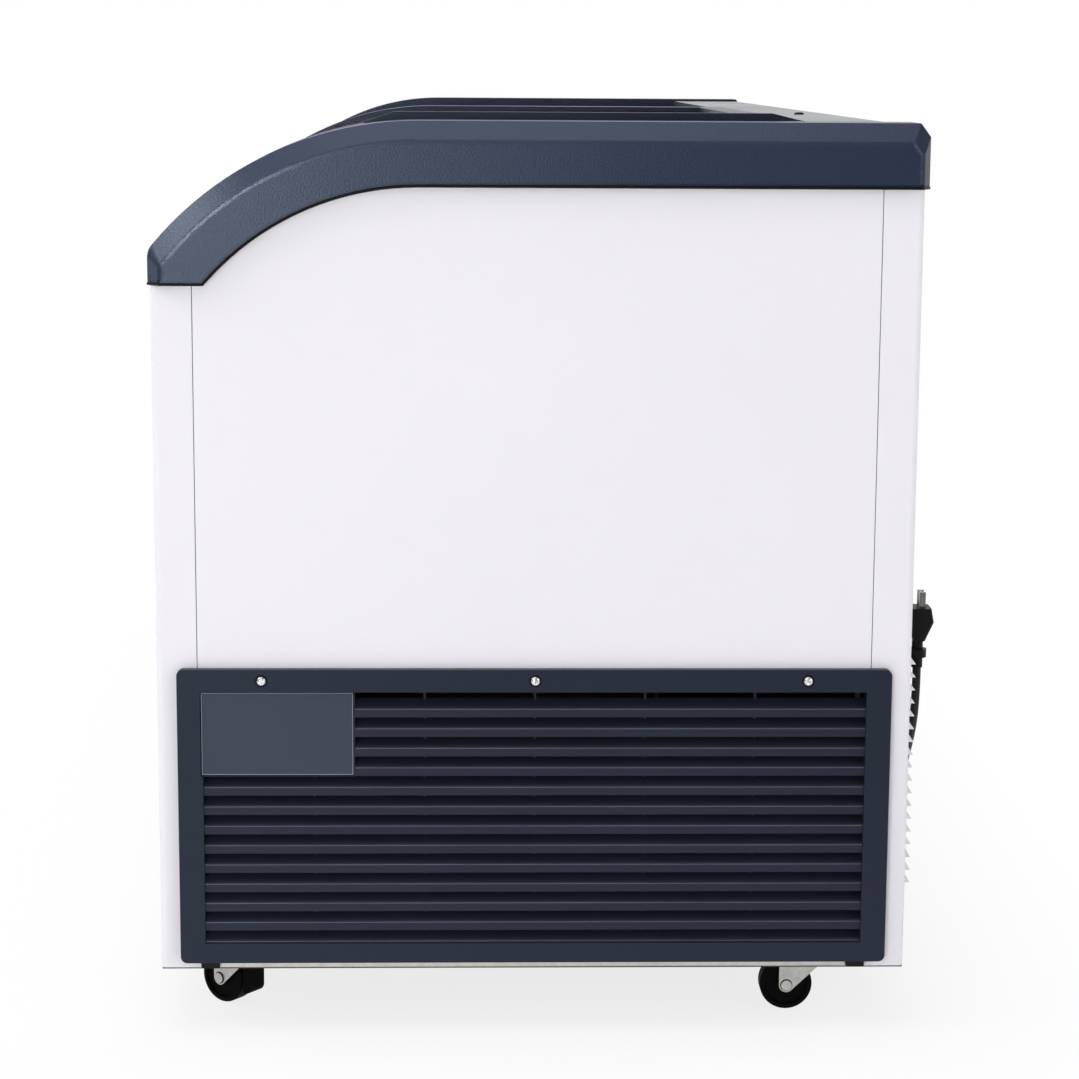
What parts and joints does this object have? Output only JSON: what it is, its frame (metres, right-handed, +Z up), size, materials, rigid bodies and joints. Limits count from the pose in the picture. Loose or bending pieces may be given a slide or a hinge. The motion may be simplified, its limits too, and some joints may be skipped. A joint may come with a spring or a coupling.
{
  "type": "curved glass chest freezer",
  "caption": "Chest freezer with a curved front, sliding bent-glass lids in two levels, moulded end caps, a vented machine end and swivel casters.",
  "frame": {"origin": "on the floor, under the middle of the cabinet", "axes": "+X along the length towards the machine end, -Y towards the customer's curved front, +Z up"},
  "size_m": [1.8, 0.7234, 0.8478],
  "materials": {
    "white_sheet": "smooth white powder coat",
    "zinc_steel": "bright zinc plate",
    "foam": "closed-cell foam, cut faces",
    "liner_sheet": "white coated sheet",
    "copper": "drawn copper",
    "cap_plastic": "satin moulded navy grey",
    "rail_plastic": "satin extrusion",
    "grille_plastic": "matt moulded dark navy",
    "black_plastic": "matt black",
    "black_paint": "gloss black enamel",
    "fins": "bare fins",
    "lid_plastic": "satin moulded navy grey",
    "clear_glass": "bent float glass",
    "pile": "black pile strip",
    "wheel_rubber": "matt black",
    "cord_sheath": "smooth black sheath",
    "nickel": "bright nickel"
  },
  "bodies": {
    "cabinet": {"base_pan": "zinc_steel", "front_panel": "white_sheet", "rear_panel": "white_sheet", "end_panel_vent": "white_sheet", "end_panel_plain": "white_sheet", "insulation": "foam", "liner": "liner_sheet", "compartment_wall": "zinc_steel", "evaporator_tube": "copper", "end_cap_near": "cap_plastic", "end_cap_far": "cap_plastic", "front_rail": "rail_plastic", "rear_rail": "rail_plastic", "vent_grille": "grille_plastic", "control_plate": "grille_plastic", "grille_screws": "zinc_steel", "grille_clip": "black_plastic", "compressor": "black_paint", "compressor_bracket": "zinc_steel", "compressor_grommets": "wheel_rubber", "relay_cover": "black_plastic", "condenser": "fins", "fan_shroud": "zinc_steel", "fan_motor": "black_paint", "suction_pipe": "copper", "discharge_pipe": "copper", "filter_drier": "copper", "caster_plates": "zinc_steel", "plug": "black_plastic", "plug_blades": "nickel", "cord_clip": "black_plastic", "cord_gland": "black_plastic", "cord_gland_stretch": "cord_sheath", "cord_plug_stretch": "cord_sheath", "cord_coil": "cord_sheath", "cord_tie": "black_plastic"},
    "upper_lid": {"upper_lid_glass": "clear_glass", "upper_lid_outer_end": "lid_plastic", "upper_lid_inner_end": "lid_plastic", "upper_lid_front_runner": "lid_plastic", "upper_lid_rear_runner": "lid_plastic", "upper_lid_brush": "pile"},
    "lower_lid": {"lower_lid_glass": "clear_glass", "lower_lid_outer_end": "lid_plastic", "lower_lid_inner_end": "lid_plastic", "lower_lid_front_runner": "lid_plastic", "lower_lid_rear_runner": "lid_plastic"},
    "fan": {"fan_blade": "black_plastic"},
    "fork_front_near": {"caster_fork_front_near": "zinc_steel"},
    "wheel_front_near": {"caster_wheel_front_near": "wheel_rubber"},
    "pedal_front_near": {"brake_pedal_front_near": "black_plastic"},
    "fork_front_far": {"caster_fork_front_far": "zinc_steel"},
    "wheel_front_far": {"caster_wheel_front_far": "wheel_rubber"},
    "pedal_front_far": {"brake_pedal_front_far": "black_plastic"},
    "fork_rear_near": {"caster_fork_rear_near": "zinc_steel"},
    "wheel_rear_near": {"caster_wheel_rear_near": "wheel_rubber"},
    "fork_rear_far": {"caster_fork_rear_far": "zinc_steel"},
    "wheel_rear_far": {"caster_wheel_rear_far": "wheel_rubber"}
  },
  "joints": [
    {"name": "upper_lid_slide", "type": "slide", "parent": "cabinet", "child": "upper_lid", "axis": [1, 0, 0], "range_m": [-0.755, 0]},
    {"name": "lower_lid_slide", "type": "slide", "parent": "cabinet", "child": "lower_lid", "axis": [1, 0, 0], "range_m": [0, 0.755]},
    {"name": "fan_spin", "type": "hinge", "parent": "cabinet", "child": "fan", "pos_m": [0.82, -0.16, 0.1395], "axis": [1, 0, 0], "continuous": true},
    {"name": "swivel_front_near", "type": "hinge", "parent": "cabinet", "child": "fork_front_near", "pos_m": [0.818, -0.272, 0.053], "axis": [0, 0, 1], "continuous": true},
    {"name": "roll_front_near", "type": "hinge", "parent": "fork_front_near", "child": "wheel_front_near", "pos_m": [0.80199, -0.29249, 0.025], "axis": [0.788, -0.6157, 0], "continuous": true},
    {"name": "brake_front_near", "type": "hinge", "parent": "fork_front_near", "child": "pedal_front_near", "pos_m": [0.81862, -0.27121, 0.044], "axis": [0.788, -0.6157, 0], "range_deg": [0, 15]},
    {"name": "swivel_front_far", "type": "hinge", "parent": "cabinet", "child": "fork_front_far", "pos_m": [-0.818, -0.272, 0.053], "axis": [0, 0, 1], "continuous": true},
    {"name": "roll_front_far", "type": "hinge", "parent": "fork_front_far", "child": "wheel_front_far", "pos_m": [-0.83401, -0.29249, 0.025], "axis": [0.788, -0.6157, 0], "continuous": true},
    {"name": "brake_front_far", "type": "hinge", "parent": "fork_front_far", "child": "pedal_front_far", "pos_m": [-0.81738, -0.27121, 0.044], "axis": [0.788, -0.6157, 0], "range_deg": [0, 15]},
    {"name": "swivel_rear_near", "type": "hinge", "parent": "cabinet", "child": "fork_rear_near", "pos_m": [0.826, 0.268, 0.053], "axis": [0, 0, 1], "continuous": true},
    {"name": "roll_rear_near", "type": "hinge", "parent": "fork_rear_near", "child": "wheel_rear_near", "pos_m": [0.826, 0.242, 0.025], "axis": [1, 0, 0], "continuous": true},
    {"name": "swivel_rear_far", "type": "hinge", "parent": "cabinet", "child": "fork_rear_far", "pos_m": [-0.826, 0.268, 0.053], "axis": [0, 0, 1], "continuous": true},
    {"name": "roll_rear_far", "type": "hinge", "parent": "fork_rear_far", "child": "wheel_rear_far", "pos_m": [-0.826, 0.242, 0.025], "axis": [1, 0, 0], "continuous": true}
  ]
}
